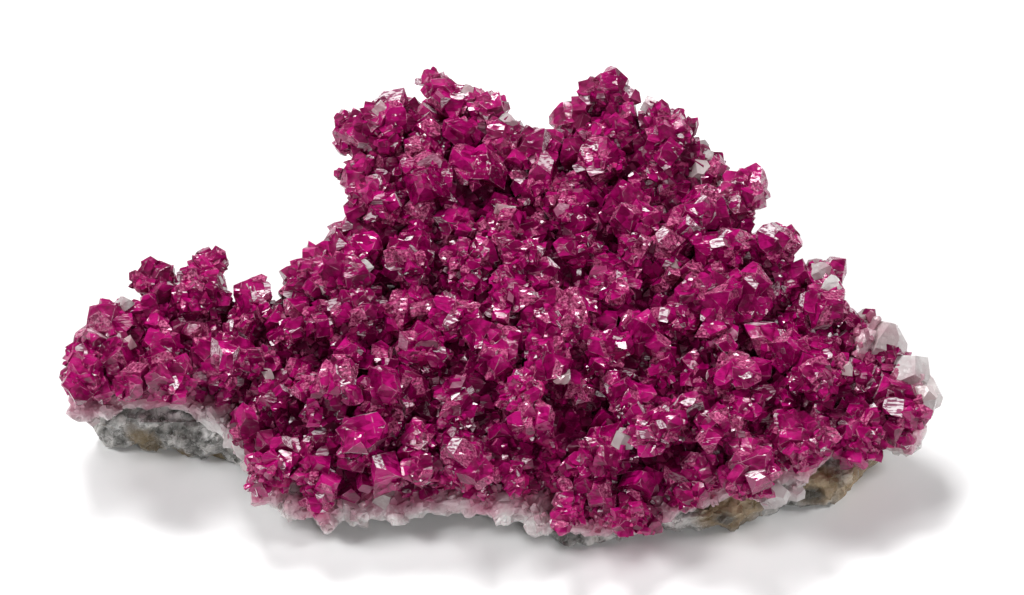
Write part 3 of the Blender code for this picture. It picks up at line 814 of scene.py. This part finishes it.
calcite = {
    "voxel": 0.4,
    "surface": {"Lumps per mm": 0.3, "Lump depth": 0.5, "Chips per mm": 0.8, "Chip depth": 0.75,
                "Bulges per mm": 0.3, "Bulge depth": 0.7},
    "blushDepth": 2.9,  # how far the roselite's pink reaches into the band
    "comb": {  # small columns round the band's rim
        "Spacing": 1.2, "Smallest": 0.8, "Largest": 1.5, "Lean": 0.3, "Sink": 1.1, "Upright": 2.0,
        "Rim cut": 0.0, "Lowest slope": -0.15, "Highest slope": 0.7, "Seed": 31,
    },
    "blocks": [  # larger pale crystals along the rim: pixel, half width in mm, lean to the viewer
        (892, 338, 1.8, 0.6), (912, 372, 1.9, 0.7), (926, 394, 1.7, 0.7), (880, 322, 1.2, 0.4),
        (900, 352, 1.6, 0.6), (244, 446, 1.5, 0.9), (254, 462, 1.2, 0.8), (235, 433, 1.2, 0.8),
        (88, 422, 0.8, 0.2), (607, 508, 1.2, 0.8), (385, 497, 1.3, 0.8), (785, 500, 1.2, 0.7),
        (800, 496, 1.0, 0.7),
    ],
    "perched": [  # murky crystals among the roselite: pixel, half width in mm, lean to the viewer
        (380, 108, 0.9, 0.3), (470, 90, 0.8, 0.3), (511, 122, 0.9, 0.5), (650, 104, 0.8, 0.3),
        (706, 140, 0.8, 0.4), (815, 262, 0.9, 0.3), (122, 300, 0.7, 0.3), (248, 288, 0.7, 0.4),
        (697, 172, 1.2, 1.0), (265, 375, 0.8, 0.8), (628, 445, 1.0, 0.9), (560, 380, 0.8, 0.9),
        (500, 210, 0.9, 0.8), (673, 265, 0.8, 0.9), (368, 158, 0.8, 0.6), (365, 265, 0.7, 0.8),
        (130, 345, 0.7, 0.8), (325, 290, 0.6, 0.8), (842, 370, 0.7, 0.8), (712, 146, 0.8, 0.3),
        (826, 270, 0.9, 0.3), (838, 286, 0.9, 0.3), (872, 318, 0.9, 0.4), (928, 392, 1.2, 0.6),
        (935, 407, 1.0, 0.5),
    ],
}

calciteColours = {
    "white": (0.84, 0.81, 0.80, 1.0),
    "grey": (0.58, 0.48, 0.49, 1.0),
    "vein": (0.95, 0.93, 0.93, 1.0),
    "murky": (0.78, 0.55, 0.56, 1.0),
    "blush": (0.56, 0.07, 0.22, 1.0),
}


def calciteLook(tipBlush, murk, grain):
    # white with grey clouds and pale veins, pink near the roselite or by tipBlush at a crystal's tip,
    # and a dull pink by murk; grain is how rough its faces are
    colours = calciteColours

    def look(graph):
        place = graph.add("ShaderNodeTexCoord", out="Object")
        blush, tip, tone, tint = [graph.attribute(k) for k in ("blush", "tip", "tone", "tint")]
        cloud, veins = graph.noise(place, 0.35, 3.0), graph.noise(place, 1.8, 4.0, 0.65)
        pale = graph.mixed(((cloud - 0.35) * 3.0).clamped(), colours["white"], colours["grey"])
        pale = graph.mixed(((veins - 0.53) * 8.0).clamped() * 0.5, pale, colours["vein"])
        pale = graph.mixed(((tint - 0.4) * 2.5).clamped() * murk, pale, colours["murky"])
        pink = (blush * 1.3 - 0.17 + (cloud - 0.5) * 0.8 + tip * tone * tipBlush).clamped()
        streaks = graph.noise(graph.turned(place, (0.0, 0.0, 0.0), (2.2, 2.2, 0.3)), 1.4, 4.0)
        height = graph.tinyFacets(place, 2.2)[0] * (0.35 * grain) + streaks * (0.0001 * grain)
        bump = graph.add("ShaderNodeBump", None, {"Height": height, "Strength": 1.0, "Distance": 1.0})
        return {"Base Color": graph.mixed(pink * 0.85, pale, colours["blush"]),
                "Roughness": veins * 0.3 + 0.04, "Normal": bump}
    return look


rock = {
    "voxel": 0.45,
    "surface": {"Lumps per mm": 0.3, "Lump depth": 1.2, "Chips per mm": 1.1, "Chip depth": 0.9,
                "Bulges per mm": 0.42, "Bulge depth": 1.0},
    # the brown and tan stains, and the dark patches in the pits under the wing and along the lower rim:
    # pixel, radius in mm
    "brown": [(132, 446, 2.6), (150, 450, 2.4), (180, 452, 1.6), (215, 458, 1.2)],
    "tan": [(735, 512, 4.6), (860, 478, 4.8), (820, 490, 3.0), (895, 462, 3.4)],
    "dark": [
        (116, 412, 0.8), (189, 412, 0.8), (290, 520, 2.0), (345, 525, 2.0), (422, 520, 2.0),
        (490, 506, 2.0), (575, 522, 2.4), (812, 494, 1.6), (725, 520, 1.4),
    ],
}

rockColours = {
    "greys": [(0.38, (0.08, 0.078, 0.07)), (0.46, (0.30, 0.295, 0.28)), (0.53, (0.56, 0.55, 0.54)),
              (0.61, (0.92, 0.91, 0.90))],
    # painted shade in the creases between the bulges, with the dark veins
    "creaseShadeAndVein": (0.09, 0.088, 0.08, 1.0),
    "seam": (0.10, 0.10, 0.095, 1.0),
    "paleGrit": (0.80, 0.79, 0.78, 1.0),
    "darkGrit": (0.12, 0.117, 0.105, 1.0),
    "tan": ((0.20, 0.135, 0.065, 1.0), (0.50, 0.38, 0.24, 1.0)),
    "tanGrit": (0.14, 0.09, 0.045, 1.0),
    "brown": (0.15, 0.10, 0.035, 1.0),
    "dark": (0.06, 0.06, 0.055, 1.0),
}


def rockLook(graph):
    # mottled grey with dark veins and seams, painted shade in the creases between the bulges, and the tan
    # and brown stains and the dark patches painted on it
    colours = rockColours
    place = graph.add("ShaderNodeTexCoord", out="Object")
    brown, tan, dark = [graph.attribute(k) for k in ("brown", "tan", "dark")]
    cloud, veins = graph.noise(place, 0.4, 3.0), graph.noise(place, 0.9, 4.0)
    grit = graph.noise(place, 2.6, 5.0, 0.7)
    bulgeScale = rock["surface"]["Bulges per mm"] / mm
    bulges = graph.add("ShaderNodeTexVoronoi", {"feature": "SMOOTH_F1"},
                       {"Vector": place, "Scale": bulgeScale, "Smoothness": 0.3}, out="Distance")
    # painted shade: darker in the creases between the bulges, which lie where the surface's own bulges do,
    # and along the veins
    creaseShadeAndVein = ((bulges - 0.5) * 3.0 + (veins - 0.5) * 1.5).clamped()
    grey = graph.add("ShaderNodeValToRGB", {"stops": colours["greys"]}, {"Fac": cloud * 0.4 + veins * 0.6})
    grey = graph.mixed(creaseShadeAndVein * 0.6, grey, colours["creaseShadeAndVein"])
    seam = graph.add("ShaderNodeMath", {"operation": "ABSOLUTE"}, {0: graph.noise(place, 0.5, 3.0) - 0.5})
    grey = graph.mixed(((0.018 - seam) * 60.0).clamped() * 0.7, grey, colours["seam"])
    grey = graph.mixed(((grit - 0.55) * 8.0).clamped() * 0.4, grey, colours["paleGrit"])
    grey = graph.mixed(((0.44 - grit) * 8.0).clamped() * 0.4, grey, colours["darkGrit"])
    ochre = graph.mixed(((cloud - 0.35) * 3.0).clamped(), *colours["tan"])
    ochre = graph.mixed(((0.45 - grit) * 8.0).clamped() * 0.4, ochre, colours["tanGrit"])
    ragged = (veins - 0.5) * 1.4  # gives the stains an uneven edge
    colour = graph.mixed((tan * 2.4 + ragged).clamped(), grey, ochre)
    colour = graph.mixed((brown * 2.4 + ragged - 0.2).clamped() * 0.9, colour, colours["brown"])
    colour = graph.mixed((dark * 2.0 + ragged).clamped() * 0.85, colour, colours["dark"])
    height = graph.tinyFacets(place, 1.1)[0] * 0.4 + grit * 0.00006 + veins * 0.0003
    bump = graph.add("ShaderNodeBump", None, {"Height": height, "Strength": 1.0, "Distance": 1.0})
    return {"Base Color": colour, "Roughness": grit * 0.4 + 0.05, "Normal": bump}


def keepAboveFloor(bm):
    for v in bm.verts:
        v.co.z = max(v.co.z, 0.0)


stone = remeshedNode("host_rock", "brokenRock", rock["voxel"])
rockFinish = surfaceOf("greyHostRock", rockLook)
applied(stone, surfaceTree, {**rock["surface"], "Finish": rockFinish})
edited(stone, keepAboveFloor)
stoneTree = treeOf(stone)
for key in ("brown", "tan", "dark"):
    paint(stone, key, [(castAt(stoneTree, x, y)[0], radius) for x, y, radius in rock[key]])
dress(stone, rockFinish, "host_rock")

band = remeshedNode("calcite_band", "calciteBand", calcite["voxel"])
bandFinish = surfaceOf("calciteBand", calciteLook(0.0, 0.0, 0.9), {
    "IOR": 1.6, "Transmission Weight": 0.15, "Subsurface Weight": 0.25,
    "Subsurface Radius": (1.0, 0.7, 0.8), "Subsurface Scale": 0.001})
applied(band, surfaceTree, {**calcite["surface"], "Finish": bandFinish})


def blushBand(bm):
    # pinker where the roselite is near
    layer = bm.verts.layers.float.new("blush")
    for v in bm.verts:
        near = coreTree.find_nearest(v.co)[3]
        v[layer] = max(0.0, 1.0 - near / (calcite["blushDepth"] * mm))


edited(band, blushBand)
bandTree = treeOf(band)
dress(band, bandFinish, "calcite_band")
clearFinish = surfaceOf("calciteClear", calciteLook(0.5, 0.3, 0.5),
                        {"IOR": 1.6, "Transmission Weight": 0.35})
murkyFinish = surfaceOf("calciteMurky", calciteLook(0.9, 0.6, 0.4),
                        {"IOR": 1.6, "Transmission Weight": 0.4})
columns = crystalShapes("calciteColumn", 21, 8, (column,), (1, 2), 0.08)
rhombs = crystalShapes("calciteRhomb", 22, 8, (rhomb, rhomb, wedge), (1, 2))
grown("calciteComb", band, scatterTree,
      {**calcite["comb"], "Crystals": columns, "Finish": clearFinish})
placed("calciteBlocks", bandTree, calcite["blocks"],
       {"Seed": 41, "Crystals": rhombs, "Finish": clearFinish, "Rooted": 0.3, "Wander": 0.25})
placed("perchedCalcite", treeOf(crystals), calcite["perched"],
       {"Seed": 42, "Crystals": rhombs, "Finish": murkyFinish, "Rooted": 0.8, "Wander": 0.25})
